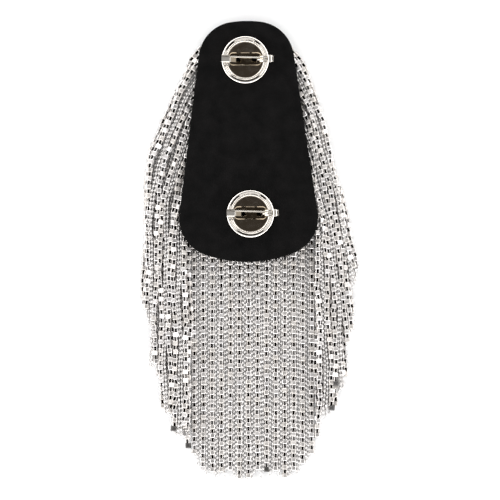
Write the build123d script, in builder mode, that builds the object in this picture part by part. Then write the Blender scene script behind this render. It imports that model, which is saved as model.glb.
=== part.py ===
from build123d import *
import os
from math import cos, hypot, radians, sin

# A fringed epaulette that lies on its face. A stiff felt board carries two round brooch pins on
# its back, and strands of cup chain and ball chain hang from heads under the board.
# Millimetres. X is to the right and Y towards the neck end, seen from the back. Z is up from the
# surface that it lies on, and the origin is the middle of the whole outline on that surface.

os.makedirs("parts", exist_ok=True)

# Board
board_length = 126.5
board_shoulder_width = 46.2
board_foot_width = 76.2
board_top_bulge = 4.5
board_foot_bulge = 12.4
board_top_corner = 20.0
board_foot_corner = 20.0
board_thickness = 2.5
board_bottom = 5.0
board_edge = 0.7
board_tilt = 0.83
board_middle = (-1.85, 57.2)
board_top = board_bottom + board_thickness

# Strands
strand_width = 2.0
strand_height = 1.5
strand_gap = 0.15
layer_pitch = strand_height + strand_gap
layer_count = 3
bend_steps = 3
bunch_slope = 0.4
head_width = 4.0
head_gap = 0.2
head_height = board_bottom - head_gap

# Side strands run from the head, over a shoulder and a bend, down to a free tip. Each row is one
# guide strand, with how many strands there are from it to the next row.
# Columns: head, shoulder, bend, lower bend, tip, strands to the next row
left_guides = [
    ((-19.5, 112.0), (-31.8, 100.0), (-45.8, 66.0), (-54.5, 41.5), (-56.3, -28.5), 5),
    ((-23.5, 94.0), (-34.0, 80.5), (-45.8, 53.0), (-51.8, 24.0), (-52.6, -61.5), 8),
    ((-26.0, 75.0), (-32.5, 63.5), (-41.5, 37.0), (-45.7, 8.0), (-45.9, -84.0), 7),
    ((-27.5, 58.0), (-31.5, 47.5), (-37.5, 26.5), (-40.2, 0.5), (-40.0, -96.0), 8),
    ((-28.8, 41.5), (-31.0, 29.0), (-32.4, 13.5), (-32.8, -7.5), (-32.8, -105.0), 0),
]
right_guides = [
    ((16.0, 111.0), (27.0, 97.0), (36.0, 75.0), (45.0, 36.0), (56.3, -10.5), 6),
    ((20.5, 94.0), (29.5, 80.5), (38.0, 53.0), (46.5, 18.5), (54.0, -38.0), 6),
    ((23.0, 75.0), (30.0, 63.5), (37.0, 37.0), (44.0, 5.5), (50.0, -71.5), 7),
    ((25.0, 58.0), (30.0, 45.0), (36.0, 21.5), (40.5, -5.0), (43.5, -84.0), 8),
    ((27.0, 41.5), (31.4, 27.5), (34.6, 12.0), (35.2, -9.0), (35.2, -104.0), 0),
]

# Centre strands hang straight down, side by side
lane_pitch = 2.385
lane_middle = 1.05
lanes_each_side = 13
lane_tip = -120.4
lane_tip_flat = 24.0
lane_tip_slope = 1.5
lane_tip_ragged = 0.9
# Where each lane starts under the board, clear of the side heads. Columns: across, start
lane_starts = [
    (-30.5, 17.0),
    (-27.5, 29.0),
    (-22.0, 66.0),
    (-18.0, 88.0),
    (-14.0, 106.0),
    (9.0, 106.0),
    (14.0, 92.0),
    (19.0, 66.0),
    (23.0, 33.0),
    (28.0, 20.0),
    (33.0, 12.0),
]
centre_head_top = 13.0
centre_head_bottom = 8.6

# Pins, each measured from the middle of its disc and from the felt up
pin_middles = {"upper": (-3.0, 99.9), "lower": (-0.3, 19.2)}
pin_seat = 0.1
disc_radius = 12.5
disc_floor_radius = 9.3
disc_floor = 0.7
rim_height = 2.0
roll_middle = 11.6
groove_edge = 11.45
groove_foot = 10.65
groove_depth = 0.45
inner_roll = (10.45, 1.8)
inner_crest = (9.98, 1.92)
inner_edge = (9.55, 1.5)
plate_length = 17.3
plate_width = 6.7
plate_corner = 2.4
plate_edge = 0.3
plate_offset = 0.5
plate_bottom = 0.8
sheet = 0.5
plate_holes = {"left": -3.7, "right": 4.7}
hole_length = 2.4
hole_width = 2.1
over_rim = 2.15
strip = 0.4
# The tongue is the plate's own metal, bent up from the left hole
tongue_root = -4.9
tongue_top = -8.3
tongue_width = 2.3
catch_end = -12.4
catch_back = -0.7
catch_bend = 0.925
catch_roof_edge = 1.2
catch_front = 2.45
catch_lip_height = 3.3
tab_length = 3.4
tab_width = 1.9
tab_rim = 0.45
ramp_root = 7.6
ramp_top = 9.3
ear_end = 14.8
ear_start = 10.9
ear_low = -1.1
ear_high = 2.05
ear_sheet = 0.6
ear_radius = 1.45
hinge_x = 12.9
hinge_z = 3.85
rivet_radius = 0.35
rivet_clearance = 0.03
rivet_head_radius = 0.7
rivet_head = 0.25
wire = 0.38
coil_clearance = 0.07
coil_side_gap = 0.08
needle_hinge_y = 0.98
needle_tip_x = -11.9
needle_tip_y = 1.66
needle_tip_radius = 0.12
needle_taper_x = -6.0
tail_y = 0.0
tail_wire = 0.32
tail_bend = (8.6, 3.05)
tail_end = (6.6, 1.8)


def strip_outline(points, width):
    """The outline of a strip of one width whose middle line passes through the points."""
    left = []
    right = []
    for i, (x, y) in enumerate(points):
        x0, y0 = points[max(i - 1, 0)]
        x1, y1 = points[min(i + 1, len(points) - 1)]
        length = hypot(x1 - x0, y1 - y0)
        across = (width / 2 * (y0 - y1) / length, width / 2 * (x1 - x0) / length)
        left.append((x + across[0], y + across[1]))
        right.append((x - across[0], y - across[1]))
    return left + right[::-1]


def between(row, following, share):
    """The points of a strand that lies between two guide rows, in a bunch with the first row's.

    The strands of a bunch end nearly level, and the next bunch ends a step lower.
    """
    points = [
        (a[0] + (b[0] - a[0]) * share, a[1] + (b[1] - a[1]) * share)
        for a, b in zip(row[:5], following[:5])
    ]
    tip_share = share * bunch_slope
    return points[:4] + [(points[4][0], row[4][1] + (following[4][1] - row[4][1]) * tip_share)]


def eased(points):
    """A smooth line through the points, where each bend leans towards its neighbours."""
    ends = [points[0], *points, points[-1]]
    line = []
    for a, b, c, d in zip(ends, ends[1:], ends[2:], ends[3:]):
        for i in range(bend_steps):
            t = i / bend_steps
            weights = (
                (-t + 2 * t**2 - t**3) / 2,
                (2 - 5 * t**2 + 3 * t**3) / 2,
                (t + 4 * t**2 - 3 * t**3) / 2,
                (t**3 - t**2) / 2,
            )
            line.append(
                tuple(sum(w * p[j] for w, p in zip(weights, (a, b, c, d))) for j in (0, 1))
            )
    return line + [points[-1]]


def side_strands(guides):
    """The middle lines of all strands on one side, from the top one down."""
    lines = []
    for row, following in zip(guides, guides[1:]):
        lines += [eased(between(row, following, i / row[5])) for i in range(row[5])]
    lines.append(eased(guides[-1][:5]))
    return lines


def table_value(table, x):
    """The second column of a table at x, straight between its rows."""
    for (x0, y0), (x1, y1) in zip(table, table[1:]):
        if x <= x1:
            return y0 + (y1 - y0) * (x - x0) / (x1 - x0)
    return table[-1][1]


def lane_line(k):
    """The middle line of centre strand k, counted from the middle lane."""
    x = lane_middle + k * lane_pitch
    fall = max(0, abs(x) - lane_tip_flat) * lane_tip_slope
    ragged = lane_tip_ragged * (1 + sin(2.4 * k)) if k else 0
    return [(x, table_value(lane_starts, x)), (x, lane_tip + fall + ragged)]


def save(part, name):
    """Labels a finished part and writes it under its own name."""
    part.label = name
    export_step(part, f"parts/{name}.step")


# Felt board: a domed top, straight flared sides and a wide rounded foot, with soft edges
tilt = radians(board_tilt)
board_plane = Plane(
    origin=(board_middle[0], board_middle[1], board_bottom),
    x_dir=(cos(tilt), sin(tilt), 0),
    z_dir=(0, 0, 1),
)
half = board_length / 2
shoulder = board_shoulder_width / 2
foot = board_foot_width / 2
shoulder_y = half - board_top_bulge
foot_y = board_foot_bulge - half
with BuildPart() as felt_board:
    with BuildSketch(board_plane) as board_outline:
        with BuildLine():
            ThreePointArc((-shoulder, shoulder_y), (0, half), (shoulder, shoulder_y))
            Line((shoulder, shoulder_y), (foot, foot_y))
            ThreePointArc((foot, foot_y), (0, -half), (-foot, foot_y))
            Line((-foot, foot_y), (-shoulder, shoulder_y))
        make_face()
        fillet(board_outline.vertices().group_by(Axis.Y)[-1], radius=board_top_corner)
        fillet(board_outline.vertices().group_by(Axis.Y)[0], radius=board_foot_corner)
    extrude(amount=board_thickness)
    faces = felt_board.faces().sort_by(Axis.Z)
    fillet(faces[0].edges() + faces[-1].edges(), radius=board_edge)
save(felt_board.part, "felt_board")

# Side fringes: strands in three layers, held together by a head that follows their upper ends
for name, guides in {"left": left_guides, "right": right_guides}.items():
    strands = side_strands(guides)
    with BuildPart() as side_fringe:
        with BuildSketch():
            with BuildLine():
                Polyline(*strip_outline([row[0] for row in guides], head_width), close=True)
            make_face()
        extrude(amount=head_height)
        for layer in range(layer_count):
            with BuildSketch(Plane.XY.offset(layer * layer_pitch)):
                for strand in strands[layer::layer_count]:
                    with BuildLine():
                        Polyline(*strip_outline(strand, strand_width), close=True)
                    make_face()
            extrude(amount=strand_height)
    save(side_fringe.part, f"{name}_fringe")

# Centre fringe: one layer of straight strands, held by a head that crosses them under the board
lanes = [lane_line(k) for k in range(-lanes_each_side, lanes_each_side + 1)]
head_left = lanes[0][0][0] - strand_width / 2
head_right = lanes[-1][0][0] + strand_width / 2
with BuildPart() as centre_fringe:
    with BuildSketch():
        with BuildLine():
            Polyline(
                (head_left, centre_head_bottom),
                (head_right, centre_head_bottom),
                (head_right, centre_head_top),
                (head_left, centre_head_top),
                close=True,
            )
        make_face()
    extrude(amount=head_height)
    with BuildSketch():
        for lane in lanes:
            with BuildLine():
                Polyline(*strip_outline(lane, strand_width), close=True)
            make_face()
    extrude(amount=strand_height)
save(centre_fringe.part, "centre_fringe")

# Pins
for name, (pin_x, pin_y) in pin_middles.items():
    seat = Plane(origin=(pin_x, pin_y, board_top + pin_seat))
    upright = Plane(origin=seat.origin, x_dir=(1, 0, 0), z_dir=(0, -1, 0))
    across = Plane(origin=seat.origin, x_dir=(0, 1, 0), z_dir=(1, 0, 0))

    # Disc: a thin floor inside a rim that is rolled over twice. The groove between the rolls has
    # a wide slope that faces inwards and a short steep wall
    with BuildPart() as disc:
        with BuildSketch(upright):
            with BuildLine():
                Line((0, 0), (roll_middle, 0))
                ThreePointArc(
                    (roll_middle, 0), (disc_radius, rim_height / 2), (roll_middle, rim_height)
                )
                Polyline(
                    (roll_middle, rim_height),
                    (groove_edge, rim_height - 0.02),
                    (groove_foot, rim_height - groove_depth),
                    inner_roll,
                )
                ThreePointArc(inner_roll, inner_crest, inner_edge)
                Polyline(
                    inner_edge,
                    (disc_floor_radius, disc_floor),
                    (0, disc_floor),
                    (0, 0),
                )
            make_face()
        revolve(axis=Axis(seat.origin, (0, 0, 1)))
    save(disc.part, f"{name}_pin_disc")

    # Pin bar: the plate, the tongue and catch at the left, the ramp and two ears at the right
    with BuildPart() as bar:
        with BuildSketch(seat.offset(plate_bottom)) as plate:
            with Locations((0, plate_offset)):
                RectangleRounded(plate_length, plate_width, plate_corner)
            with Locations(*[(x, 0) for x in plate_holes.values()]):
                RectangleRounded(hole_length, hole_width, 0.4, mode=Mode.SUBTRACT)
        extrude(amount=sheet)
        # The stamping leaves a bevel along the plate's edges and round the holes
        chamfer(bar.faces().sort_by(Axis.Z)[-1].edges(), length=plate_edge)
        # Tongue, from the hole's edge up to the level over the rim
        with BuildSketch(upright):
            with BuildLine():
                Polyline(
                    (tongue_root, plate_bottom),
                    (tongue_root, plate_bottom + sheet),
                    (tongue_top, over_rim + strip),
                    (tongue_top - strip, over_rim + strip),
                    (tongue_top - strip, over_rim),
                    (tongue_top, over_rim),
                    close=True,
                )
            make_face()
        extrude(amount=tongue_width / 2, both=True)
        # Catch: a strip curled over from the back, with a low lip in front of the needle
        with BuildSketch(across.offset(catch_end)):
            with BuildLine():
                Line((catch_front, over_rim), (catch_back, over_rim))
                ThreePointArc(
                    (catch_back, over_rim),
                    (catch_back - catch_bend, over_rim + catch_bend),
                    (catch_back, over_rim + 2 * catch_bend),
                )
                Polyline(
                    (catch_back, over_rim + 2 * catch_bend),
                    (catch_roof_edge, over_rim + 2 * catch_bend),
                    (catch_roof_edge, over_rim + 2 * catch_bend - strip),
                    (catch_back, over_rim + 2 * catch_bend - strip),
                )
                ThreePointArc(
                    (catch_back, over_rim + 2 * catch_bend - strip),
                    (catch_back - catch_bend + strip, over_rim + catch_bend),
                    (catch_back, over_rim + strip),
                )
                Polyline(
                    (catch_back, over_rim + strip),
                    (catch_front - strip, over_rim + strip),
                    (catch_front - strip, catch_lip_height),
                    (catch_front, catch_lip_height),
                    (catch_front, over_rim),
                )
            make_face()
        extrude(amount=tongue_top - catch_end)
        # Tab with a slot, beside the catch
        with BuildSketch(seat.offset(over_rim)):
            with Locations((tongue_top - tab_length / 2, catch_back - catch_bend - 0.6)):
                RectangleRounded(tab_length, tab_width, 0.6)
                Rectangle(
                    tab_length - 2 * tab_rim, tab_width - 2 * tab_rim, mode=Mode.SUBTRACT
                )
        extrude(amount=strip)
        # Ramp and strip, from the plate's right end up over the rim
        with BuildSketch(upright.offset(-(ear_low + ear_high) / 2)):
            with BuildLine():
                Polyline(
                    (ramp_root, plate_bottom),
                    (ramp_root, plate_bottom + sheet),
                    (ramp_top, over_rim + strip),
                    (ear_end, over_rim + strip),
                    (ear_end, over_rim),
                    (ramp_top, over_rim),
                    (ramp_root + strip, plate_bottom),
                    close=True,
                )
            make_face()
        extrude(amount=(ear_high - ear_low) / 2, both=True)
        # Ears, one each side of the coil, with a hole for the rivet
        for ear_y in (ear_low + ear_sheet, ear_high):
            with BuildSketch(upright.offset(-ear_y)):
                with BuildLine():
                    Line((ear_start, over_rim), (ear_end, over_rim))
                    Line((ear_end, over_rim), (hinge_x + ear_radius, hinge_z))
                    ThreePointArc(
                        (hinge_x + ear_radius, hinge_z),
                        (hinge_x, hinge_z + ear_radius),
                        (hinge_x - ear_radius, hinge_z),
                    )
                    Line((hinge_x - ear_radius, hinge_z), (ear_start, over_rim))
                make_face()
                with Locations((hinge_x, hinge_z)):
                    Circle(rivet_radius + rivet_clearance, mode=Mode.SUBTRACT)
            extrude(amount=ear_sheet)
    save(bar.part, f"{name}_pin_bar")

    # Rivet: a round shank with a flat head outside each ear
    with BuildPart() as rivet:
        for y, radius, length in (
            (ear_high + rivet_clearance + rivet_head, rivet_head_radius, rivet_head),
            (ear_high + rivet_clearance, rivet_radius, ear_high - ear_low + 2 * rivet_clearance),
            (ear_low - rivet_clearance, rivet_head_radius, rivet_head),
        ):
            with BuildSketch(upright.offset(-y)):
                with Locations((hinge_x, hinge_z)):
                    Circle(radius)
            extrude(amount=length)
    save(rivet.part, f"{name}_pin_rivet")

    # Needle: a coil of wire round the rivet, a long tapered leg and a short bent tail
    eye_radius = rivet_radius + coil_clearance
    coil_radius = eye_radius + 2 * wire
    coil_high = ear_high - ear_sheet - coil_side_gap
    coil_low = ear_low + ear_sheet + coil_side_gap
    leg_z = hinge_z - eye_radius - wire
    leg_start = Vector(pin_x + hinge_x, pin_y + needle_hinge_y, seat.origin.Z + leg_z)
    leg_end = Vector(pin_x + needle_tip_x, pin_y + needle_tip_y, seat.origin.Z + leg_z)
    leg = leg_end - leg_start
    taper_start = leg_start + leg * ((hinge_x - needle_taper_x) / (hinge_x - needle_tip_x))
    tail_path = [(hinge_x, leg_z), tail_bend, tail_end]
    with BuildPart() as needle:
        with BuildSketch(upright.offset(-coil_high)):
            with Locations((hinge_x, hinge_z)):
                Circle(coil_radius)
        extrude(amount=coil_high - coil_low)
        with BuildSketch(Plane(origin=leg_start, z_dir=leg)):
            Circle(wire)
        extrude(amount=(taper_start - leg_start).length)
        with BuildSketch(Plane(origin=taper_start, z_dir=leg)):
            Circle(wire)
        with BuildSketch(Plane(origin=leg_end, z_dir=leg)):
            Circle(needle_tip_radius)
        loft()
        for (x0, z0), (x1, z1) in zip(tail_path, tail_path[1:]):
            start = Vector(pin_x + x0, pin_y + tail_y, seat.origin.Z + z0)
            end = Vector(pin_x + x1, pin_y + tail_y, seat.origin.Z + z1)
            with BuildSketch(Plane(origin=start, z_dir=end - start)):
                Circle(tail_wire)
            extrude(amount=(end - start).length)
            with Locations(end):
                Sphere(tail_wire)
        with BuildSketch(upright.offset(-coil_high - 0.1)):
            with Locations((hinge_x, hinge_z)):
                Circle(eye_radius)
        extrude(amount=coil_high - coil_low + 0.2, mode=Mode.SUBTRACT)
    save(needle.part, f"{name}_pin_needle")
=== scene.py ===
"""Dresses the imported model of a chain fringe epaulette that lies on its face.

The felt board and the brooch pins are the frame's own nodes with new finishes. The three
fringes are replaced by real cup chain and ball chain that run along the same strand lines.
Sizes are in millimetres until a mesh is made, and X, Y and Z are the frame's own axes.
"""
from math import cos, pi, radians, sin

import bpy
import numpy as np
from bpy.props import FloatProperty, FloatVectorProperty, IntProperty, PointerProperty
from bpy.types import Operator, Panel, PropertyGroup
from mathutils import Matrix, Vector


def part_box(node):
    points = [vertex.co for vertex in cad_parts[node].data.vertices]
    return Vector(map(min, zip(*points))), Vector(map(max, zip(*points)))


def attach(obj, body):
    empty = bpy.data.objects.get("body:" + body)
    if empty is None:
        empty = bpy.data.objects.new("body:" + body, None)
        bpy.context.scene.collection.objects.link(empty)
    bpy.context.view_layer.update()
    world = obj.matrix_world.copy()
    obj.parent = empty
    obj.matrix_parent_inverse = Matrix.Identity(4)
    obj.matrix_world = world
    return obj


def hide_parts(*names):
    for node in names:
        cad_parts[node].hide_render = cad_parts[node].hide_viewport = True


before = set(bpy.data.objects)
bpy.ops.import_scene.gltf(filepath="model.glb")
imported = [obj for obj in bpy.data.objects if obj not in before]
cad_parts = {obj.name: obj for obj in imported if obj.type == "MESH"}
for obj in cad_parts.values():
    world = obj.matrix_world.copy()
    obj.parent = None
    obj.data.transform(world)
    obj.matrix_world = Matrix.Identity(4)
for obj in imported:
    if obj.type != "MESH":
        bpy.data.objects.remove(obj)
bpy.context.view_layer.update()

bl_info = {
    "name": "Chain fringe epaulette",
    "version": (1, 0, 0),
    "blender": (4, 5, 0),
    "location": "View3D > Sidebar > Epaulette",
    "description": "Finishes and chains for a fringed epaulette that lies on its face",
    "category": "Object",
}

MM = 0.001
BODY = "epaulette"
PIN_NAMES = ("upper", "lower")

# Pin discs: the radius of the floor, how far it domes up, and how far from the middle the floor is
# coloured dark under the plate, along and across the plate
DISC_FLOOR_RADIUS = 9.3
DOME_RISE = 0.08
UNDER_PLATE_DARK_REACH = (8.0, 1.5)

# Pin bars: the share of a bar's height from which its bent ends turn satin and take a paler colour,
# which is painted light, the height over which that sets in, and the roughness there
PAINTED_LIGHT_FROM = 0.3
PAINTED_LIGHT_FADE = 0.3
UPPER_END_ROUGHNESS = 0.36

# Head tapes, from just over the floor to just under the board
TAPE_WIDTH = 4.0
TAPE_LOW = 0.05
TAPE_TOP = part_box("felt_board")[0][2] / MM - 0.25

# Side strands, along the solids' own strands. Each row is one guide strand: its head under the
# board, shoulder, bend, lower bend and free tip. The last right row lies 0.4 mm further in than
# the solid's. The counts say how many strands run from each row up to the next one.
LEFT_GUIDES = (
    ((-19.5, 112.0), (-31.8, 100.0), (-45.8, 66.0), (-54.5, 41.5), (-56.3, -28.5)),
    ((-23.5, 94.0), (-34.0, 80.5), (-45.8, 53.0), (-51.8, 24.0), (-52.6, -61.5)),
    ((-26.0, 75.0), (-32.5, 63.5), (-41.5, 37.0), (-45.7, 8.0), (-45.9, -84.0)),
    ((-27.5, 58.0), (-31.5, 47.5), (-37.5, 26.5), (-40.2, 0.5), (-40.0, -96.0)),
    ((-28.8, 41.5), (-31.0, 29.0), (-32.4, 13.5), (-32.8, -7.5), (-32.8, -105.0)),
)
LEFT_COUNTS = (5, 8, 7, 8)
RIGHT_GUIDES = (
    ((16.0, 111.0), (27.0, 97.0), (36.0, 75.0), (45.0, 36.0), (56.3, -10.5)),
    ((20.5, 94.0), (29.5, 80.5), (38.0, 53.0), (46.5, 18.5), (54.0, -38.0)),
    ((23.0, 75.0), (30.0, 63.5), (37.0, 37.0), (44.0, 5.5), (50.0, -71.5)),
    ((25.0, 58.0), (30.0, 45.0), (36.0, 21.5), (40.5, -5.0), (43.5, -84.0)),
    ((27.0, 41.5), (31.4, 27.5), (34.3, 12.0), (34.8, -9.0), (34.8, -104.0)),
)
RIGHT_COUNTS = (6, 6, 7, 8)
BUNCH_SLOPE = 0.4

# Centre strands, one every lane. Their tips lie level over a flat width in the middle and rise
# with a slope beyond it, and a small wave makes them ragged. The last cups stand in rows, give or
# take the row spread. The starts give how far up under the board a lane at that X begins.
LANE_MIDDLE = 1.05
LANE_PITCH = 2.385
LANES_EACH_SIDE = 13
LANE_TIP = -120.4
LANE_TIP_FLAT = 24.0
LANE_TIP_SLOPE = 1.5
LANE_TIP_RAGGED = 0.9
LANE_TIP_WAVE = 2.4
LANE_STEPS = 97
ROW_SPREAD = 0.3
LANE_START_X = (-30.5, -27.5, -22.0, -18.0, -14.0, 9.0, 14.0, 19.0, 23.0, 28.0, 33.0)
LANE_START_Y = (17.0, 29.0, 66.0, 88.0, 106.0, 106.0, 92.0, 66.0, 33.0, 20.0, 12.0)
CENTRE_TAPE = ((-30.2, 10.9), (32.2, 10.9))

# Dark things round the camera, which the polished metal mirrors. Columns: azimuth and tilt from
# straight above in degrees, half width across and half height as sines, soft edge, shade
DARK_PATCHES = (
    (90, 0, 0.93, 0.93, 0.15, (0.21, 0.21, 0.21, 1.0)),
    (90, 0, 0.6, 0.6, 0.5, (0.104, 0.104, 0.104, 1.0)),
    (90, -3, 0.3, 0.3, 0.5, (0.0098, 0.008, 0.0062, 1.0)),
    (90, 55, 0.68, 0.27, 0.3, (0.002, 0.002, 0.002, 1.0)),
    (-40, 55, 0.3, 0.27, 0.3, (0.002, 0.002, 0.002, 1.0)),
    (-128, 55, 0.16, 0.27, 0.3, (0.002, 0.002, 0.002, 1.0)),
    (0, 40, 0.16, 0.14, 0.5, (0.2, 0.195, 0.19, 1.0)),
)

# Heights of the chains' middles in the three layers: at the head, along the strand, at the tip
LAYER_HEIGHTS = ((0.98, 0.98, 0.98), (2.5, 2.6, 2.3), (3.9, 4.2, 3.5))
LAYER_TWISTS = (0.6, 0.8, 1.0)

# Lengths from a strand's head to its full height and sway, and to its first cup or ball
HEAD_RUN = 16.0
HEAD_CLEARANCE = 1.5

# Twist of a strand: lengths of its waves, its gain, and the share of the head's run without it
TWIST_LENGTHS = (70.0, 33.0, 19.0)
TWIST_GAIN = 1.6
TWIST_START = 0.3

# How far in radians a cup turns against the strand, and the share of that which it swings
SIDE_SLACK = 0.13
CENTRE_SLACK = 0.05
SWING_SHARE = 0.6

# Least and most painted shade in the slots, and the share of last cups that are dark, and how dark
SIDE_SLOT_SHADE = (0.93, 1.0)
CENTRE_SLOT_SHADE = (0.5, 1.0)
DARK_TIPS = 0.14
DARK_TIP_GRIME = 0.85

# Cups: the numbers of their finishes, the points of one cup before its links, the stone's table
# below the chain's middle, the gap over the floor, the lift of a cup on its edge, and how far
# the last cup's links reach along, across and up
METAL, STONE, WEB = range(3)
CUP_POINTS = 36
TABLE_DEPTH = 0.95
FLOOR_GAP = 0.02
EDGE_LIFT = 0.4
LAST_LINK_REACH = (1.05, 1.0, 1.0)

# Side strands of cups end up to this much short of their line
SIDE_TRIM = 8.0

# Ball chain in pairs: how far each wanders, how much higher it lies, how unevenly it ends
PAIR_SWAY = 0.2
PAIR_LIFT = 0.2
PAIR_TRIM = 6.0

# Steps from the seed in the panel to the seeds of single draws
SIDE_CHAIN_STEP = 50
CENTRE_LINE_STEP = 9
CENTRE_CHAIN_STEP = 70


def linear(hex_colour):
    """The linear colour, with full alpha, of an sRGB hex colour such as 'c0c0c0'."""
    channels = np.array([int(hex_colour[i : i + 2], 16) for i in (0, 2, 4)]) / 255
    low, high = channels / 12.92, ((channels + 0.055) / 1.055) ** 2.4
    return (*np.where(channels <= 0.04045, low, high).tolist(), 1.0)


def colour(name, description, hex_colour):
    """A colour property that starts at an sRGB hex colour."""
    return FloatVectorProperty(
        name=name,
        description=description,
        subtype="COLOR",
        size=4,
        min=0.0,
        max=1.0,
        default=linear(hex_colour),
    )


def length(name, description, millimetres):
    """A length property that starts at a size in millimetres."""
    return FloatProperty(
        name=name, description=description, unit="LENGTH", precision=4, default=millimetres * MM
    )


class ChainSizes(PropertyGroup):
    """Sizes of the two chains, and how loosely the side strands lie."""

    cup_width: length("Cup width", "Width of a square cup's back", 2.3)
    cup_length: length("Cup length", "Length of a cup's back along the chain", 2.2)
    cup_flare: length("Cup flare", "How far each wall leans out from the back to the rim", 0.4)
    cup_pitch: length("Cup pitch", "Distance from one cup to the next", 4.5)
    rail_spread: length("Rail spread", "From the chain's middle to each link wire", 0.78)
    rail_radius: length("Rail radius", "Radius of a link wire", 0.22)
    bead_size: length("Bead size", "Diameter of a ball in the ball chain", 1.35)
    bead_pitch: length("Bead pitch", "Distance from one ball to the next", 2.26)
    pair_spread: length("Pair spread", "From the middle of a pair of ball chains to each", 0.6)
    side_sway: length("Side sway", "How far the side strands wander sideways", 1.15)
    centre_sway: length("Centre sway", "How far the centre strands wander sideways", 0.18)
    side_twist: FloatProperty(
        name="Side twist",
        description="How far the side strands turn about themselves",
        subtype="ANGLE",
        default=radians(17),
    )
    centre_twist: FloatProperty(
        name="Centre twist",
        description="How far the centre strands turn about themselves",
        subtype="ANGLE",
        default=radians(9),
    )
    seed: IntProperty(name="Seed", description="Start of the random sway and twist", default=11)


class FinishColours(PropertyGroup):
    """Colours of the real materials."""

    felt: colour("Felt", "Pressed black wool felt", "0b0b0b")
    felt_fibre: colour("Felt fibre", "Lighter loose fibres of the felt", "161515")
    silver: colour("Silver plate", "Silver plate of the cup chain", "dddad9")
    warm_silver: colour("Warm silver", "Thin plate where the brass shows through", "d9d4cf")
    steel: colour("Steel", "Polished steel of the ball chain", "e2dfdd")
    dull_steel: colour("Dull steel", "Steel of the ball chain where it is less bright", "cac7c5")
    # Painted shade: this dark colour fills the slots' webs and the wire between balls, where shade
    # falls, and also darkens some last cups all over
    shade_and_tarnish: colour("Tarnish", "Dark film deep in the slots and between the balls", "141311")
    crystal: colour("Crystal", "Foiled clear stone", "e9edf2")
    nickel: colour("Nickel", "Polished nickel plate of the pins", "e6e0d8")
    # This dark colour covers the disc's floor in a box under each plate and shows through the
    # plate's holes
    under_plate_dark: colour("Residue", "Dark residue of the joint under each plate", "1c1a18")
    strip: colour("Strip", "Nickel plated strip of the pin bars", "a79c8b")
    # Painted light: the pin bars' upper bent ends are given this paler colour
    painted_light_ends: colour("Rubbed strip", "The strip's bent ends, rubbed pale by handling", "d6d1ca")
    wire: colour("Wire", "Spring wire of the needles", "bdb8b0")
    tape: colour("Tape", "Black woven tape", "141414")
    floor: colour("Floor", "Matt white floor", "fbfbfb")


class StageSizes(PropertyGroup):
    """The view and the light."""

    view_width: length("View width", "Width of the picture at the fringe", 263.5)
    view_middle_x: length("View middle X", "Middle of the picture, across", -0.53)
    view_middle_y: length("View middle Y", "Middle of the picture, along the board", 0.26)
    camera_height: length("Camera height", "Height of the camera over the floor", 1500)
    sky_light: FloatProperty(
        name="Sky light", description="Strength of the soft light all round", default=4.5
    )


# Meshes


def put_mesh(name, vertices, faces, materials, **looks):
    """A mesh object from vertices in millimetres and faces.

    Each entry of faces is an array with one face's vertex numbers in each row, the number of
    its material, and whether it is shaded smooth. looks are named numbers for the material, one
    for each vertex.
    """
    counts = [np.full(len(rows), rows.shape[1]) for rows, _, _ in faces]
    totals = np.concatenate(counts)
    mesh = bpy.data.meshes.new(name)
    mesh.vertices.add(len(vertices))
    mesh.vertices.foreach_set("co", (vertices * MM).astype(np.float32).ravel())
    mesh.loops.add(int(totals.sum()))
    corners = np.concatenate([rows.ravel() for rows, _, _ in faces])
    mesh.loops.foreach_set("vertex_index", corners.astype(np.int32))
    mesh.polygons.add(len(totals))
    starts = np.concatenate(([0], np.cumsum(totals)[:-1]))
    mesh.polygons.foreach_set("loop_start", starts.astype(np.int32))
    slots = np.concatenate([np.full(len(rows), slot) for rows, slot, _ in faces])
    mesh.polygons.foreach_set("material_index", slots.astype(np.int32))
    smooth = np.concatenate([np.full(len(rows), round_) for rows, _, round_ in faces])
    mesh.polygons.foreach_set("use_smooth", smooth.astype(bool))
    mesh.update(calc_edges=True)
    for look, values in looks.items():
        layer = mesh.attributes.new(look, "FLOAT", "POINT")
        layer.data.foreach_set("value", values.astype(np.float32))
    for material in materials:
        mesh.materials.append(material)
    made = bpy.data.objects.new(name, mesh)
    bpy.context.scene.collection.objects.link(made)
    return made


def ring_strip(first, second):
    """Quads between two closed rings of vertex numbers, the second further along the path."""
    return np.stack([first, np.roll(first, -1, -1), np.roll(second, -1, -1), second], -1)


def regular_ring(sides, radius, start=0.0):
    """Points of a regular polygon about the origin."""
    angles = start + np.arange(sides) * 2 * pi / sides
    return radius * np.stack([np.cos(angles), np.sin(angles)], 1)


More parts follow.
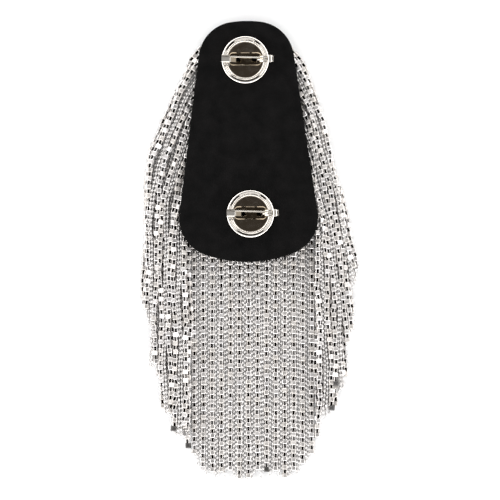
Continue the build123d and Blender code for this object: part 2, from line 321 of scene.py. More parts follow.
def cup_body(chain):
    """One square cup with its stone: its rings of vertices in millimetres, and its faces.

    The cup is a square back with a small bevel, four walls down to a rim with a claw at each
    corner, and an eight-sided stone in the rim with a table and eight facets.
    """
    half_x, half_y = chain.cup_length / MM / 2, chain.cup_width / MM / 2
    flare = chain.cup_flare / MM
    back_z, shoulder_z, rim_z, claw_z, girdle_z = 0.75, 0.6, -0.45, -0.82, -0.5
    bevel, claw_reach, claw_lean = 0.22, 0.5, 0.15
    girdle_inset, table_inset = 0.2, 0.75
    signs = np.array([(1, 1), (-1, 1), (-1, -1), (1, -1)])

    def square(inset, z):
        flat = signs * (half_x - inset, half_y - inset)
        return np.column_stack([flat, np.full(4, z)])

    def octagon(inset, z):
        flat = regular_ring(8, half_y + flare - inset, pi / 8)
        return np.column_stack([flat, np.full(8, z)])

    # Rim: one point on either side of each corner, in order round the cup
    corners = signs * (half_x + flare, half_y + flare)
    beside_x = corners - signs * (0, claw_reach)
    beside_y = corners - signs * (claw_reach, 0)
    odd = np.array([False, True, False, True])[:, None]
    before, after = np.where(odd, beside_y, beside_x), np.where(odd, beside_x, beside_y)
    rim_flat = np.stack([before, after], 1).reshape(8, 2)
    rings = [
        square(bevel, back_z),
        square(0, shoulder_z),
        np.column_stack([rim_flat, np.full(8, rim_z)]),
        square(claw_lean - flare, claw_z),
        octagon(girdle_inset, girdle_z),
        octagon(table_inset, -TABLE_DEPTH),
    ]
    # Vertex numbers of the rings, and of the points before and after each corner
    numbers = np.arange(CUP_POINTS)
    back, shoulder, rim, claw, girdle, table = np.split(numbers, (4, 8, 16, 20, 28))
    follow = np.roll(np.arange(4), -1)
    rim_in, rim_out = rim[0::2], rim[1::2]
    girdle_in, girdle_out = girdle[0::2], girdle[1::2]
    metal_quads = np.concatenate(
        [
            back[None],
            np.stack([back, shoulder, shoulder[follow], back[follow]], 1),
            np.stack([shoulder, rim_out, rim_in[follow], shoulder[follow]], 1),
            np.stack([rim_out, girdle_out, girdle_in[follow], rim_in[follow]], 1),
        ]
    )
    metal_triangles = np.concatenate(
        [
            np.stack([shoulder, claw, rim_out], 1),
            np.stack([shoulder, rim_in, claw], 1),
            np.stack([rim_in, girdle_in, claw], 1),
            np.stack([claw, girdle_in, girdle_out], 1),
            np.stack([claw, girdle_out, rim_out], 1),
        ]
    )
    facets = np.stack([girdle, table, np.roll(table, -1), np.roll(girdle, -1)], 1)
    faces = [
        (metal_quads, METAL, False),
        (metal_triangles, METAL, False),
        (facets, STONE, False),
        (table[::-1][None], STONE, False),
    ]
    return rings, faces


def cup_links(chain):
    """The two six-sided link wires from a cup to the next, and the polished web between them.

    They run from inside this cup's end wall to inside the next cup's, and their vertices follow
    the cup's own. Returns the wires' rings, the web's rings, and the faces of both.
    """
    half_x = chain.cup_length / MM / 2
    wire_z, overlap = 0.34, 0.12
    ends = (half_x - overlap, chain.cup_pitch / MM - half_x + overlap)
    wire_ring = regular_ring(6, chain.rail_radius / MM)
    wires, faces = [], []
    first = CUP_POINTS
    for side in (-1, 1):
        ring = wire_ring + (side * chain.rail_spread / MM, wire_z)
        wires += [np.column_stack([np.full(6, x), ring]) for x in ends]
        near, far = first + np.arange(6), first + 6 + np.arange(6)
        faces += [
            (ring_strip(near, far), METAL, True),
            (near[::-1][None], METAL, False),
            (far[None], METAL, False),
        ]
        first += 12
    # The web is a dark sheet laid in the slot between the wires, where there is only shade; its
    # colour is painted shade
    web_inset, web_top, web_low = 0.1, -0.02, -0.16
    web_half = chain.rail_spread / MM - web_inset
    section = np.array(
        [(-web_half, web_low), (web_half, web_low), (web_half, web_top), (-web_half, web_top)]
    )
    web = [np.column_stack([np.full(4, x), section]) for x in ends]
    near, far = first + np.arange(4), first + 4 + np.arange(4)
    faces += [(ring_strip(near, far), WEB, False), (np.stack([near[::-1], far]), WEB, False)]
    return wires, web, faces


def cup_unit(chain):
    """One cup with its stone and the links that lead on to the next cup.

    Local axes: x along the chain, y across it, z out of the cup's back. Returns the vertices in
    millimetres, how far each is painted with shade (all the way on the web in the slot), and the
    faces as put_mesh takes them.
    """
    rings, faces = cup_body(chain)
    wires, web, link_faces = cup_links(chain)
    clean = np.concatenate([*rings, *wires])
    dark = np.concatenate(web)
    # Painted shade: the web in the slot gets a full share, so it takes the dark shade colour
    shade_and_tarnish_share = np.repeat((0.0, 1.0), (len(clean), len(dark)))
    return np.concatenate([clean, dark]), shade_and_tarnish_share, [*faces, *link_faces]


# Strands


def strand_corners(guides, counts):
    """The five points of each strand of one side, from the top one down.

    A strand's points lie between its two guide rows, and the strands of one bunch end nearly
    level, because their tips fall more slowly than their places.
    """
    rows = np.array(guides)
    bunches = []
    for row, following, count in zip(rows, rows[1:], counts):
        share = np.arange(count)[:, None, None] / count
        points = row + (following - row) * share
        points[:, 4, 1] = row[4, 1] + (following[4, 1] - row[4, 1]) * share[:, 0, 0] * BUNCH_SLOPE
        bunches.append(points)
    return np.concatenate([*bunches, rows[-1:]])


def smooth_line(corners, steps=24):
    """A Catmull-Rom line through the corners, with its ends doubled."""
    ends = np.concatenate([corners[:1], corners, corners[-1:]])
    windows = np.stack([ends[i : i + len(corners) - 1] for i in range(4)], 1)
    t = np.arange(steps) / steps
    weights = np.stack(
        [
            (-t + 2 * t**2 - t**3) / 2,
            (2 - 5 * t**2 + 3 * t**3) / 2,
            (t + 4 * t**2 - 3 * t**3) / 2,
            (t**3 - t**2) / 2,
        ],
        1,
    )
    line = np.einsum("sw,nwd->nsd", weights, windows).reshape(-1, 2)
    return np.concatenate([line, corners[-1:]])


def run_length(line):
    """The distance from the start of a line to each of its points."""
    return np.concatenate(([0], np.cumsum(np.linalg.norm(np.diff(line, axis=0), axis=1))))


def slow_wave(along, rng, lengths=(95.0, 41.0, 17.0), weights=(1.0, 0.6, 0.3)):
    """A smooth random wave along a strand: three sine waves with random starts, at most 1."""
    starts = rng.uniform(0, 2 * pi, len(lengths))
    total = sum(
        w * np.sin(2 * pi * along / size + start)
        for w, size, start in zip(weights, lengths, starts)
    )
    return total / sum(weights)


def laid_line(flat, heights, sway, rng):
    """A strand's middle line in space.

    The flat line is moved sideways by a slow random wave that grows from nothing at the head,
    and its height runs from the head's to the layer's over the head's run, then to the tip's.
    """
    along = run_length(flat)
    forward = np.gradient(flat, along, axis=0)
    across = np.stack([-forward[:, 1], forward[:, 0]], 1)
    freed = np.clip(along / HEAD_RUN, 0, 1)
    swayed = flat + across * (slow_wave(along, rng) * freed * sway)[:, None]
    height = np.interp(along, (0, HEAD_RUN, along[-1]), heights)
    return np.column_stack([swayed, height])


def shortened(line, trim):
    """The line without the last few millimetres."""
    along = run_length(line)
    stations = np.linspace(0, along[-1] - trim, len(line))
    return np.stack([np.interp(stations, along, line[:, i]) for i in range(3)], 1)


def at_stations(line, stations):
    """Points and unit directions of a line at the given distances along it."""
    along = run_length(line)
    points = np.stack([np.interp(stations, along, line[:, i]) for i in range(3)], 1)
    slope = np.gradient(line, along, axis=0)
    forward = np.stack([np.interp(stations, along, slope[:, i]) for i in range(3)], 1)
    return points, forward / np.linalg.norm(forward, axis=1, keepdims=True)


def turned_frames(forward, roll):
    """Frames along a strand: forward, across and up, turned by the roll about forward."""
    up = np.array([0.0, 0.0, 1.0]) - forward * forward[:, 2:]
    up /= np.linalg.norm(up, axis=1, keepdims=True)
    side = np.cross(up, forward)
    level, raised = np.cos(roll)[:, None], np.sin(roll)[:, None]
    return np.stack([forward, side * level - up * raised, up * level + side * raised], 1)


def paired(lines, chain, rng):
    """Two lines for each line, side by side, which wander a little and end unevenly.

    Ball chain hangs in pairs, because one ball is only half as wide as a cup.
    """
    spread = chain.pair_spread / MM
    pairs = []
    for line in lines:
        along = run_length(line)
        forward = np.gradient(line[:, :2], along, axis=0)
        across = np.column_stack([-forward[:, 1], forward[:, 0], np.zeros(len(line))])
        for side in (-spread, spread):
            offset = side + PAIR_SWAY * slow_wave(along, rng)
            moved = line + across * offset[:, None] + (0, 0, PAIR_LIFT)
            pairs.append(shortened(moved, rng.uniform(0, PAIR_TRIM) * (side > 0)))
    return pairs


def cup_chain(lines, rolls, chain, slack, slot_shade, rng):
    """Vertices, faces and looks of cup chain along each line, one cup at every pitch.

    slack is how far in radians each cup turns and swings from its neighbours, and the argument after
    it is the least and the most painted shade that a slot can have. The last cup of some strands is
    darkened all over.
    """
    unit, unit_shade_share, unit_faces = cup_unit(chain)
    pitch = chain.cup_pitch / MM
    half_y = (chain.cup_width / 2 + chain.cup_flare) / MM
    placed = []
    counts = []
    for line, roll in zip(lines, rolls):
        along = run_length(line)
        last = along[-1] - chain.cup_length / MM / 2
        stations = np.arange(last, HEAD_CLEARANCE, -pitch)[::-1]
        counts.append(len(stations))
        points, forward = at_stations(line, stations)
        turn = np.interp(stations, along, roll) + rng.normal(0, slack, len(stations))
        swing = rng.normal(0, slack * SWING_SHARE, len(stations))[:, None]
        forward = forward + swing * np.cross((0.0, 0.0, 1.0), forward)
        forward /= np.linalg.norm(forward, axis=1, keepdims=True)
        # A cup that is turned on its edge needs more room over the floor
        edgewise, level = np.abs(np.sin(turn)), np.abs(np.cos(turn))
        lift = edgewise * half_y + level * TABLE_DEPTH + FLOOR_GAP
        points[:, 2] = np.maximum(points[:, 2] + EDGE_LIFT * edgewise, lift)
        frames = turned_frames(forward, turn)
        whole = points[:, None] + np.einsum("vi,nij->nvj", unit, frames)
        # The last cup carries no link on: its link wires shrink into its end wall
        links = np.clip(unit[CUP_POINTS:], -1.0, LAST_LINK_REACH)
        whole[-1, CUP_POINTS:] = points[-1] + np.einsum("vi,ij->vj", links, frames[-1])
        placed.append(whole)
    placed = np.concatenate(placed)
    shift = (np.arange(len(placed)) * len(unit))[:, None, None]
    faces = [
        ((rows[None] + shift).reshape(-1, rows.shape[1]), slot, round_)
        for rows, slot, round_ in unit_faces
    ]
    # Painted shade: each cup's web takes a random share of the dark shade colour
    shade_and_tarnish_share = np.outer(rng.uniform(*slot_shade, len(placed)), unit_shade_share)
    tips = np.cumsum(counts) - 1
    shade_and_tarnish_share[tips[rng.random(len(tips)) < DARK_TIPS]] = DARK_TIP_GRIME
    looks = {"tone": np.repeat(rng.uniform(0, 1, len(placed)), len(unit)), "shade_and_tarnish_share": shade_and_tarnish_share.ravel()}
    return placed.reshape(-1, 3), faces, looks


def ball_chain(lines, chain, rng, sides=10):
    """Vertices, faces and looks of ball chain: one turned profile carried along each line.

    Each ball gives four rings, at -66, -24, 24 and 66 degrees from its equator, and the
    narrow end rings of two balls in a row make the wire between them, which is in shade.
    """
    radius = chain.bead_size / MM / 2
    pitch = chain.bead_pitch / MM
    tilt = np.radians((-66, -24, 24, 66))
    circle = regular_ring(sides, 1.0)
    vertices, quads, caps, tones, shade_and_tarnish_share = [], [], [], [], []
    shade = np.repeat((0.3, 0.0, 0.0, 0.3), sides)
    first = 0
    for line in lines:
        along = run_length(line)
        middles = np.arange(along[-1] - radius, HEAD_CLEARANCE, -pitch)[::-1]
        stations = (middles[:, None] + np.sin(tilt) * radius).ravel()
        radii = np.tile(np.cos(tilt) * radius, len(middles))
        points, forward = at_stations(line, stations)
        frames = turned_frames(forward, np.zeros(len(stations)))
        rings = points[:, None] + radii[:, None, None] * np.einsum(
            "ki,nij->nkj", circle, frames[:, 1:]
        )
        rows = first + np.arange(len(stations) * sides).reshape(-1, sides)
        vertices.append(rings.reshape(-1, 3))
        quads.append(ring_strip(rows[:-1], rows[1:]).reshape(-1, 4))
        caps += [rows[0][::-1], rows[-1]]
        tones.append(np.repeat(rng.uniform(0, 1, len(middles)), len(tilt) * sides))
        shade_and_tarnish_share.append(np.tile(shade, len(middles)))
        first += rows.size
    faces = [(np.concatenate(quads), 0, True), (np.array(caps), 0, False)]
    looks = {"tone": np.concatenate(tones), "shade_and_tarnish_share": np.concatenate(shade_and_tarnish_share)}
    return np.concatenate(vertices), faces, looks


def tape_band(path, width, low, high, rings_each=10):
    """A band of woven tape under the board: a rounded box profile swept along a flat path.

    low and high are its heights over the floor. Returns vertices and faces as put_mesh takes
    them.
    """
    corner, steps = 0.7, 3
    line = np.array(path)
    along = run_length(line)
    stations = np.linspace(0, along[-1], max(2, rings_each * (len(line) - 1)))
    points = np.stack([np.interp(stations, along, line[:, i]) for i in (0, 1)], 1)
    forward = np.gradient(points, stations, axis=0)
    across = np.stack([-forward[:, 1], forward[:, 0]], 1)
    across /= np.linalg.norm(across, axis=1, keepdims=True)
    turns = np.linspace(0, pi / 2, steps)
    arc = corner * np.stack([np.cos(turns), np.sin(turns)], 1)
    half, middle = width / 2 - corner, (low + high) / 2
    rise = (high - low) / 2 - corner
    profile = np.concatenate(
        [
            arc + (half, rise),
            arc[::-1] * (-1, 1) + (-half, rise),
            arc * (-1, -1) + (-half, -rise),
            arc[::-1] * (1, -1) + (half, -rise),
        ]
    )
    across = np.column_stack([across, np.zeros(len(across))])
    base = np.column_stack([points, np.full(len(points), middle)])
    upward = np.array([0.0, 0.0, 1.0])
    rings = base[:, None] + profile[None, :, :1] * across[:, None] + profile[None, :, 1:] * upward
    sides = len(profile)
    rows = np.arange(len(stations) * sides).reshape(-1, sides)
    faces = [
        (ring_strip(rows[:-1], rows[1:]).reshape(-1, 4), 0, True),
        (np.stack([rows[0][::-1], rows[-1]]), 0, False),
    ]
    return rings.reshape(-1, 3), faces


# Materials


def add(tree, kind, inputs=(), **settings):
    """Adds a node with its own settings, and sets each input or links it from a socket."""
    made = tree.nodes.new(kind)
    for key, value in settings.items():
        setattr(made, key, value)
    for key, value in dict(inputs).items():
        if isinstance(value, bpy.types.NodeSocket):
            tree.links.new(value, made.inputs[key])
        else:
            made.inputs[key].default_value = value
    return made


def new_material(name):
    """An empty node material and its tree."""
    material = bpy.data.materials.new(name)
    material.use_nodes = True
    material.node_tree.nodes.clear()
    return material, material.node_tree


def finish_shader(tree, inputs):
    """The shader that a material ends in, joined to the output."""
    shader = add(tree, "ShaderNodeBsdfPrincipled", inputs)
    add(tree, "ShaderNodeOutputMaterial", {"Surface": shader.outputs["BSDF"]})
    return shader


def per_metre(millimetres):
    """A texture scale in Object coordinates that gives features of this size."""
    return 1 / (millimetres * MM)


def object_place(tree):
    """The place on the object, in its own coordinates."""
    return add(tree, "ShaderNodeTexCoord").outputs["Object"]


def vertex_look(tree, name):
    """A number that put_mesh kept at each vertex."""
    return add(tree, "ShaderNodeAttribute", attribute_name=name).outputs["Fac"]


def noise(tree, place, size, detail):
    """A noise pattern with features of this size in millimetres."""
    inputs = {"Vector": place, "Scale": per_metre(size), "Detail": detail}
    return add(tree, "ShaderNodeTexNoise", inputs).outputs["Fac"]


def ranged(tree, value, target=(0.0, 1.0), source=(0.0, 1.0)):
    """A value carried from the source range to the target range."""
    inputs = {"From Min": source[0], "From Max": source[1], "To Min": target[0], "To Max": target[1]}
    return add(tree, "ShaderNodeMapRange", {"Value": value, **inputs}).outputs[0]


def blended(tree, factor, first, second):
    """The first colour where the factor is 0, the second where it is 1."""
    inputs = {"Factor": factor, "A": first, "B": second}
    return add(tree, "ShaderNodeMix", inputs, data_type="RGBA").outputs["Result"]


def bumped(tree, height, strength, depth, **more):
    """The surface tilted by a pattern of heights that is this deep in millimetres."""
    inputs = {"Strength": strength, "Distance": depth * MM, "Height": height, **more}
    return add(tree, "ShaderNodeBump", inputs).outputs[0]


def worked_out(tree, operation, *values):
    """The result of one operation on one or two numbers."""
    return add(tree, "ShaderNodeMath", dict(enumerate(values)), operation=operation).outputs[0]


def pressed_wool_felt(colours):
    """Pressed wool felt: matt black, with short matted fibres and faint cloudy patches.

    Single fibres are 0.03 mm thick, so they are drawn as tufts of 0.5 mm.
    """
    material, tree = new_material("pressed_wool_felt")
    place = object_place(tree)
    clouds = noise(tree, place, size=7.0, detail=3.0)
    tufts = noise(tree, place, size=0.5, detail=4.0)
    mixed = worked_out(tree, "MULTIPLY", clouds, tufts)
    share = ranged(tree, mixed, source=(0.12, 0.42))
    finish_shader(
        tree,
        {
            "Base Color": blended(tree, share, colours.felt, colours.felt_fibre),
            "Roughness": 1.0,
            "Specular IOR Level": 0.03,
            "Sheen Weight": 0.01,
            "Sheen Roughness": 0.5,
            "Normal": bumped(tree, tufts, strength=0.6, depth=0.15),
        },
    )
    return material


def plated_metal(name, main, second, shade_and_tarnish, roughness, spread, grain):
    """A plated metal whose tone differs a little from link to link, with a fine waviness.

    main and second are the two tones, and the third colour is painted shade, which darkens the
    slots, the wire between the balls and some last cups. roughness and spread are the gloss and how
    much it differs, and grain is the size in millimetres of the waviness that stamping and plating
    leave.
    """
    material, tree = new_material(name)
    tone = vertex_look(tree, "tone")
    plate = blended(tree, tone, main, second)
    waves = noise(tree, object_place(tree), size=grain, detail=2.0)
    finish_shader(
        tree,
        {
            # The dark colour mixed in by this share is painted shade in the slots and between the
            # balls
            "Base Color": blended(tree, vertex_look(tree, "shade_and_tarnish_share"), plate, shade_and_tarnish),
            "Metallic": 1.0,
            "Roughness": ranged(tree, tone, (roughness, roughness + spread)),
            "Normal": bumped(tree, waves, strength=0.5, depth=0.06),
        },
    )
    return material


def foiled_crystal(colours):
    """Cut glass with a foiled back: clear, hard and bright, with sharp facets."""
    material, tree = new_material("foiled_cut_crystal")
    flaws = noise(tree, object_place(tree), size=1.2, detail=1.0)
    finish_shader(
        tree,
        {
            "Base Color": colours.crystal,
            "Metallic": 0.85,
            "Roughness": ranged(tree, flaws, (0.02, 0.12)),
            "Coat Weight": 1.0,
            "Coat Roughness": 0.02,
            "Coat IOR": 1.55,
        },
    )
    return material


def polished_nickel(name, colours, middle):
    """Nickel plate polished to a mirror on a stamped disc, whose floor domes a little.

    middle is the disc's middle in metres. The dome tilts the floor towards its edge by a few
    degrees, and the floor is coloured dark inside a box under the plate, which shows through its
    holes.
    """
    material, tree = new_material(name)
    place = object_place(tree)
    inputs = {0: place, 1: (*middle, 0.0)}
    local = add(tree, "ShaderNodeVectorMath", inputs, operation="SUBTRACT").outputs[0]
    smears = noise(tree, place, size=3.0, detail=3.0)
    # Dark colour inside a box round the plate's middle line, under the plate
    parts = add(tree, "ShaderNodeSeparateXYZ", {"Vector": local})
    sides = [worked_out(tree, "ABSOLUTE", parts.outputs[axis]) for axis in ("X", "Y")]
    along, across = [
        worked_out(tree, "LESS_THAN", side, reach * MM)
        for side, reach in zip(sides, UNDER_PLATE_DARK_REACH)
    ]
    under_plate_dark = worked_out(tree, "MULTIPLY", along, across)
    # Dome: the height falls with the square of the distance from the middle
    inputs = {0: local, 1: (1.0, 1.0, 0.0)}
    flat = add(tree, "ShaderNodeVectorMath", inputs, operation="MULTIPLY").outputs[0]
    square = add(tree, "ShaderNodeVectorMath", {0: flat, 1: flat}, operation="DOT_PRODUCT")
    fall = -DOME_RISE / DISC_FLOOR_RADIUS**2 / MM**2
    height = worked_out(tree, "MULTIPLY", square.outputs["Value"], fall)
    dome = bumped(tree, height, strength=1.0, depth=1.0)
    finish_shader(
        tree,
        {
            "Base Color": blended(tree, under_plate_dark, colours.nickel, colours.under_plate_dark),
            "Metallic": 1.0,
            "Roughness": ranged(tree, smears, (0.04, 0.14), (0.3, 0.7)),
            "Normal": bumped(tree, smears, strength=0.06, depth=0.08, Normal=dome),
        },
    )
    return material


def bright_strip(name, tint, roughness, grain, painted_light_ends=None):
    """Rolled strip or drawn wire with a bright plate and faint marks of its tools.

    The last argument, where given, is the height in metres from which the plate turns to a satin,
    and the paler colour there, which is painted light.
    """
    material, tree = new_material(name)
    place = object_place(tree)
    marks = noise(tree, place, size=grain, detail=3.0)
    gloss = ranged(tree, marks, (roughness, roughness + 0.12), (0.3, 0.7))
    if painted_light_ends:
        height, painted_light_tint = painted_light_ends
        # Above the height the strip turns satin, and its paler colour there is painted light
        up = add(tree, "ShaderNodeSeparateXYZ", {"Vector": place}).outputs["Z"]
        upper_end = ranged(tree, up, source=(height, height + PAINTED_LIGHT_FADE * MM))
        tint = blended(tree, upper_end, tint, painted_light_tint)
        gloss = ranged(tree, upper_end, (gloss, UPPER_END_ROUGHNESS))
    finish_shader(
        tree,
        {
            "Base Color": tint,
            "Metallic": 1.0,
            "Roughness": gloss,
            "Normal": bumped(tree, marks, strength=0.06, depth=0.04),
        },
    )
    return material


def woven_tape(colours):
    """Black woven tape: matt, with crossing threads of about half a millimetre."""
    material, tree = new_material("woven_polyester_tape")
    inputs = {"Vector": object_place(tree), "Scale": per_metre(0.5) / 20, "Distortion": 0.4}
    threads = [
        add(tree, "ShaderNodeTexWave", inputs, bands_direction=direction).outputs["Fac"]
        for direction in ("X", "Y")
    ]
    weave = worked_out(tree, "MAXIMUM", *threads)
    finish_shader(
        tree,
        {
            "Base Color": colours.tape,
            "Roughness": 0.85,
            "Specular IOR Level": 0.2,
            "Sheen Weight": 0.1,
            "Normal": bumped(tree, weave, strength=0.8, depth=0.1),
        },
    )
    return material


def dark_patch(tree, light, azimuth, tilt, half_across, half_up, edge, shade):
    """Darkens the sky's light inside a soft ellipse, and returns the new light.

    The ellipse's middle is the tilt away from straight above, towards the azimuth. Its half
    widths are sines of angles, and edge is the share of them over which it fades.
    """
    direction = add(tree, "ShaderNodeTexCoord").outputs["Generated"]
    a, t = radians(azimuth), radians(tilt)
    across = np.array([-sin(a), cos(a), 0]) / half_across
    upward = np.array([cos(a) * cos(t), sin(a) * cos(t), -sin(t)]) / half_up
    offsets = [
        add(
            tree, "ShaderNodeVectorMath", {0: direction, 1: axis.tolist()}, operation="DOT_PRODUCT"
        ).outputs["Value"]
        for axis in (across, upward)
    ]
    flat = add(tree, "ShaderNodeCombineXYZ", {"X": offsets[0], "Y": offsets[1]})
    distance = add(tree, "ShaderNodeVectorMath", {0: flat.outputs[0]}, operation="LENGTH")
    inputs = {"Value": distance.outputs["Value"], "From Min": 1.0, "From Max": 1.0 - edge}
    inside = add(tree, "ShaderNodeMapRange", inputs, interpolation_type="SMOOTHERSTEP")
    return blended(tree, inside.outputs[0], light, shade)


def matt_floor(colours):
    """Matt white paper floor with hardly any tooth."""
    material, tree = new_material("matt_white_floor")
    tooth = noise(tree, object_place(tree), size=0.8, detail=2.0)
    finish_shader(
        tree,
        {
            "Base Color": colours.floor,
            "Roughness": 0.9,
            "Specular IOR Level": 0.2,
            "Normal": bumped(tree, tooth, strength=0.1, depth=0.02),
        },
    )
    return material


# Operators


def dress(node, material):
    """Gives a node of the frame its finish."""
    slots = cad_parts[node].data.materials
    slots.clear()
    slots.append(material)


def seat(made, slot, *nodes):
    """A new piece rides on the epaulette and stands for the frame's nodes, which it hides."""
    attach(made, BODY)
    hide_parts(*nodes)


def chain_materials(colours):
    """The finishes of the chains, made once."""
    if "silver_plated_stamped_brass" in bpy.data.materials:
        names = (
            "silver_plated_stamped_brass",
            "foiled_cut_crystal",
            "polished_web_painted_shade",
            "polished_ball_chain_steel",
        )
        return [bpy.data.materials[name] for name in names]
    plate = (colours.silver, colours.warm_silver, colours.shade_and_tarnish)
    cups = plated_metal(
        "silver_plated_stamped_brass", *plate, roughness=0.34, spread=0.1, grain=1.1
    )
    # Painted shade: the webs take the dark shade colour in the slots
    painted_shade_webs = plated_metal(
        "polished_web_painted_shade", *plate, roughness=0.05, spread=0.08, grain=2.0
    )
    steel = (colours.steel, colours.dull_steel, colours.shade_and_tarnish)
    balls = plated_metal(
        "polished_ball_chain_steel", *steel, roughness=0.34, spread=0.12, grain=0.9
    )
    return [cups, foiled_crystal(colours), painted_shade_webs, balls]


def hang(label, lines, cups, trims, twists, slack, slot_shade, context, seed):
    """Hangs the strands of one fringe: cup chain where cups is true, and ball chain elsewhere.

    trims is how far each strand stops short of its line's end, in millimetres, twists is how
    far each strand turns about itself, and slack how far each cup turns from that, in radians.
    The argument after slack is the range of painted shade in the slots.
    """
    scene = context.scene
    chain = scene.epaulette_chains
    rng = np.random.default_rng(seed)
    silver, crystal, web, steel = chain_materials(scene.epaulette_colours)
    lines = [shortened(line, trim) for line, trim in zip(lines, trims)]
    rolls = []
    for line, twist in zip(lines, twists):
        along = run_length(line)
        freed = np.clip(along / HEAD_RUN - TWIST_START, 0, 1)
        rolls.append(slow_wave(along, rng, TWIST_LENGTHS) * freed * twist * TWIST_GAIN)
    cup_lines = [line for line, cup in zip(lines, cups) if cup]
    cup_rolls = [roll for roll, cup in zip(rolls, cups) if cup]
    ball_lines = [line for line, cup in zip(lines, cups) if not cup]
    vertices, faces, looks = cup_chain(cup_lines, cup_rolls, chain, slack, slot_shade, rng)
    piece = put_mesh(f"{label}_cup_chain", vertices, faces, [silver, crystal, web], **looks)
    seat(piece, "rhinestone_chain", f"{label}_fringe")
    vertices, faces, looks = ball_chain(paired(ball_lines, chain, rng), chain, rng)
    piece = put_mesh(f"{label}_ball_chain", vertices, faces, [steel], **looks)
    seat(piece, "rhinestone_chain", f"{label}_fringe")


class EPAULETTE_OT_felt_board(Operator):
    """Gives the stiff board its pressed felt"""

    bl_idname = "epaulette.felt_board"
    bl_label = "Felt board"

    def execute(self, context):
        dress("felt_board", pressed_wool_felt(context.scene.epaulette_colours))
        return {"FINISHED"}


class EPAULETTE_OT_brooch_pins(Operator):
    """Gives the discs, bars, rivets and needles of both pins their finishes"""

    bl_idname = "epaulette.brooch_pins"
    bl_label = "Brooch pins"

    def execute(self, context):
        colours = context.scene.epaulette_colours
        low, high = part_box("upper_pin_bar")
        bend = low[2] + PAINTED_LIGHT_FROM * (high[2] - low[2])
        strip = bright_strip(
            "nickel_plated_strip",
            colours.strip,
            roughness=0.06,
            grain=2.0,
            painted_light_ends=(bend, colours.painted_light_ends),
        )
        wire = bright_strip("drawn_spring_wire", colours.wire, roughness=0.1, grain=0.8)
        for name in PIN_NAMES:
            low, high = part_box(f"{name}_pin_disc")
            middle = [(a + b) / 2 for a, b in zip(low[:2], high[:2])]
            disc = polished_nickel(f"polished_nickel_plate_{name}", colours, middle)
            dress(f"{name}_pin_disc", disc)
            dress(f"{name}_pin_bar", strip)
            dress(f"{name}_pin_rivet", strip)
            dress(f"{name}_pin_needle", wire)
        return {"FINISHED"}


class EPAULETTE_OT_side_fringes(Operator):
    """Hangs cup chain and ball chain in three layers down both sides of the board"""

    bl_idname = "epaulette.side_fringes"
    bl_label = "Side fringes"

    def execute(self, context):
        chain = context.scene.epaulette_chains
        sides = (("left", LEFT_GUIDES, LEFT_COUNTS), ("right", RIGHT_GUIDES, RIGHT_COUNTS))
        for number, (label, guides, counts) in enumerate(sides):
            seed = chain.seed + number
            rng = np.random.default_rng(seed)
            lines = [
                laid_line(smooth_line(corners), LAYER_HEIGHTS[i % 3], chain.side_sway / MM, rng)
                for i, corners in enumerate(strand_corners(guides, counts))
            ]
            # Cups and balls by turns, but two cup strands to each ball strand in the top layer
            cups = [i // 3 % (3 if i % 3 == 2 else 2) != 1 for i in range(len(lines))]
            cups[-1] = True
            trims = rng.uniform(0.0, SIDE_TRIM, len(lines)) * cups
            twists = np.resize(LAYER_TWISTS, len(lines)) * chain.side_twist
            seed += SIDE_CHAIN_STEP
            hang(label, lines, cups, trims, twists, SIDE_SLACK, SIDE_SLOT_SHADE, context, seed)
        return {"FINISHED"}


class EPAULETTE_OT_centre_fringe(Operator):
    """Hangs cup chain and ball chain by turns, straight down from under the board's foot"""

    bl_idname = "epaulette.centre_fringe"
    bl_label = "Centre fringe"

    def execute(self, context):
        chain = context.scene.epaulette_chains
        rng = np.random.default_rng(chain.seed + CENTRE_LINE_STEP)
        lanes = np.arange(-LANES_EACH_SIDE, LANES_EACH_SIDE + 1)
        x = LANE_MIDDLE + lanes * LANE_PITCH
        top = np.interp(x, LANE_START_X, LANE_START_Y)
        fall = np.maximum(0, np.abs(x) - LANE_TIP_FLAT) * LANE_TIP_SLOPE
        ragged = np.where(lanes == 0, 0, LANE_TIP_RAGGED * (1 + np.sin(LANE_TIP_WAVE * lanes)))
        tip = LANE_TIP + fall + ragged
        lines = []
        for middle, start, end in zip(x, top, tip):
            y = np.linspace(start, end, LANE_STEPS)
            flat = np.column_stack([np.full(len(y), middle), y])
            lines.append(laid_line(flat, LAYER_HEIGHTS[0], chain.centre_sway / MM, rng))
        cups = lanes % 2 == 1
        # The cups of all lanes lie nearly in rows, so each strand's last cup is moved up to a row
        row_offset = rng.normal(0, ROW_SPREAD, len(lanes))
        in_rows = np.mod(row_offset - (tip - LANE_TIP), chain.cup_pitch / MM)
        trims = np.where(cups, in_rows, 0.0)
        twists = np.full(len(lines), chain.centre_twist)
        seed = chain.seed + CENTRE_CHAIN_STEP
        hang("centre", lines, cups, trims, twists, CENTRE_SLACK, CENTRE_SLOT_SHADE, context, seed)
        return {"FINISHED"}


class EPAULETTE_OT_head_tapes(Operator):
    """Sews the upper ends of the strands into black tape under the board"""

    bl_idname = "epaulette.head_tapes"
    bl_label = "Head tapes"

    def execute(self, context):
        tape = woven_tape(context.scene.epaulette_colours)
        paths = {
            "left": [row[0] for row in LEFT_GUIDES],
            "right": [row[0] for row in RIGHT_GUIDES],
            "centre": CENTRE_TAPE,
        }
        for label, path in paths.items():
            vertices, faces = tape_band(path, TAPE_WIDTH, TAPE_LOW, TAPE_TOP)
            piece = put_mesh(f"{label}_head_tape", vertices, faces, [tape])
            seat(piece, "black_felt", f"{label}_fringe")
        return {"FINISHED"}


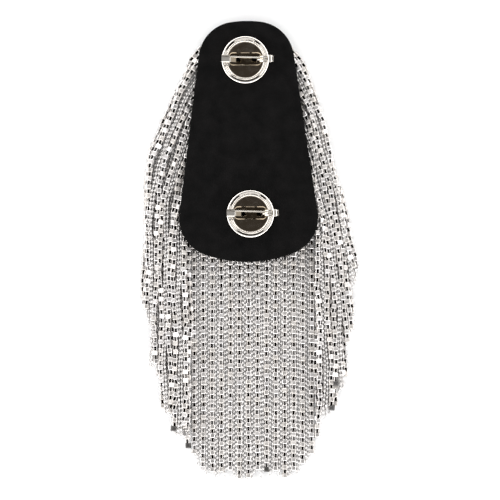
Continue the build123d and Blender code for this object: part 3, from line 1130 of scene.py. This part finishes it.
class EPAULETTE_OT_stage(Operator):
    """Sets up the floor, the soft light and the camera straight above"""

    bl_idname = "epaulette.stage"
    bl_label = "Stage"

    def execute(self, context):
        scene = context.scene
        stage = scene.epaulette_stage
        scene.view_settings.view_transform = "Standard"
        # Floor
        half = 1.6
        corners = np.array([(-half, -half, 0), (half, -half, 0), (half, half, 0), (-half, half, 0)])
        face = (np.arange(4)[None], 0, False)
        paper = matt_floor(scene.epaulette_colours)
        put_mesh("floor", corners / MM, [face], [paper])
        # Sky: bright all round, dark straight above where the camera hangs
        world = bpy.data.worlds.new("soft_studio")
        world.use_nodes = True
        tree = world.node_tree
        tree.nodes.clear()
        light = (1.0, 1.0, 1.0, 1.0)
        for patch in DARK_PATCHES:
            light = dark_patch(tree, light, *patch)
        sky = add(tree, "ShaderNodeBackground", {"Color": light, "Strength": stage.sky_light})
        add(tree, "ShaderNodeOutputWorld", {"Surface": sky.outputs[0]})
        scene.world = world
        # Camera
        data = bpy.data.cameras.new("photo_camera")
        data.sensor_width = 36.0
        data.lens = data.sensor_width * stage.camera_height / stage.view_width
        data.clip_end = 20.0
        camera = bpy.data.objects.new("photo_camera", data)
        camera.location = (stage.view_middle_x, stage.view_middle_y, stage.camera_height)
        scene.collection.objects.link(camera)
        scene.camera = camera
        return {"FINISHED"}


class EPAULETTE_PT_panel(Panel):
    """Lists the sizes, the colours and the steps"""

    bl_idname = "EPAULETTE_PT_panel"
    bl_label = "Chain fringe epaulette"
    bl_space_type = "VIEW_3D"
    bl_region_type = "UI"
    bl_category = "Epaulette"

    def draw(self, context):
        for step in STEPS:
            self.layout.operator(step.bl_idname)
        for settings in ("epaulette_chains", "epaulette_colours", "epaulette_stage"):
            group = getattr(context.scene, settings)
            for name in type(group).__annotations__:
                self.layout.prop(group, name)


STEPS = (
    EPAULETTE_OT_felt_board,
    EPAULETTE_OT_brooch_pins,
    EPAULETTE_OT_side_fringes,
    EPAULETTE_OT_centre_fringe,
    EPAULETTE_OT_head_tapes,
    EPAULETTE_OT_stage,
)
CLASSES = (ChainSizes, FinishColours, StageSizes, *STEPS, EPAULETTE_PT_panel)


def register():
    for item in CLASSES:
        bpy.utils.register_class(item)
    bpy.types.Scene.epaulette_chains = PointerProperty(type=ChainSizes)
    bpy.types.Scene.epaulette_colours = PointerProperty(type=FinishColours)
    bpy.types.Scene.epaulette_stage = PointerProperty(type=StageSizes)


def unregister():
    del bpy.types.Scene.epaulette_stage
    del bpy.types.Scene.epaulette_colours
    del bpy.types.Scene.epaulette_chains
    for item in reversed(CLASSES):
        bpy.utils.unregister_class(item)


def main():
    """Runs every step."""
    register()
    bpy.ops.epaulette.felt_board()
    bpy.ops.epaulette.brooch_pins()
    bpy.ops.epaulette.side_fringes()
    bpy.ops.epaulette.centre_fringe()
    bpy.ops.epaulette.head_tapes()
    bpy.ops.epaulette.stage()
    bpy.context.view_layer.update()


if __name__ == "__main__":
    main()
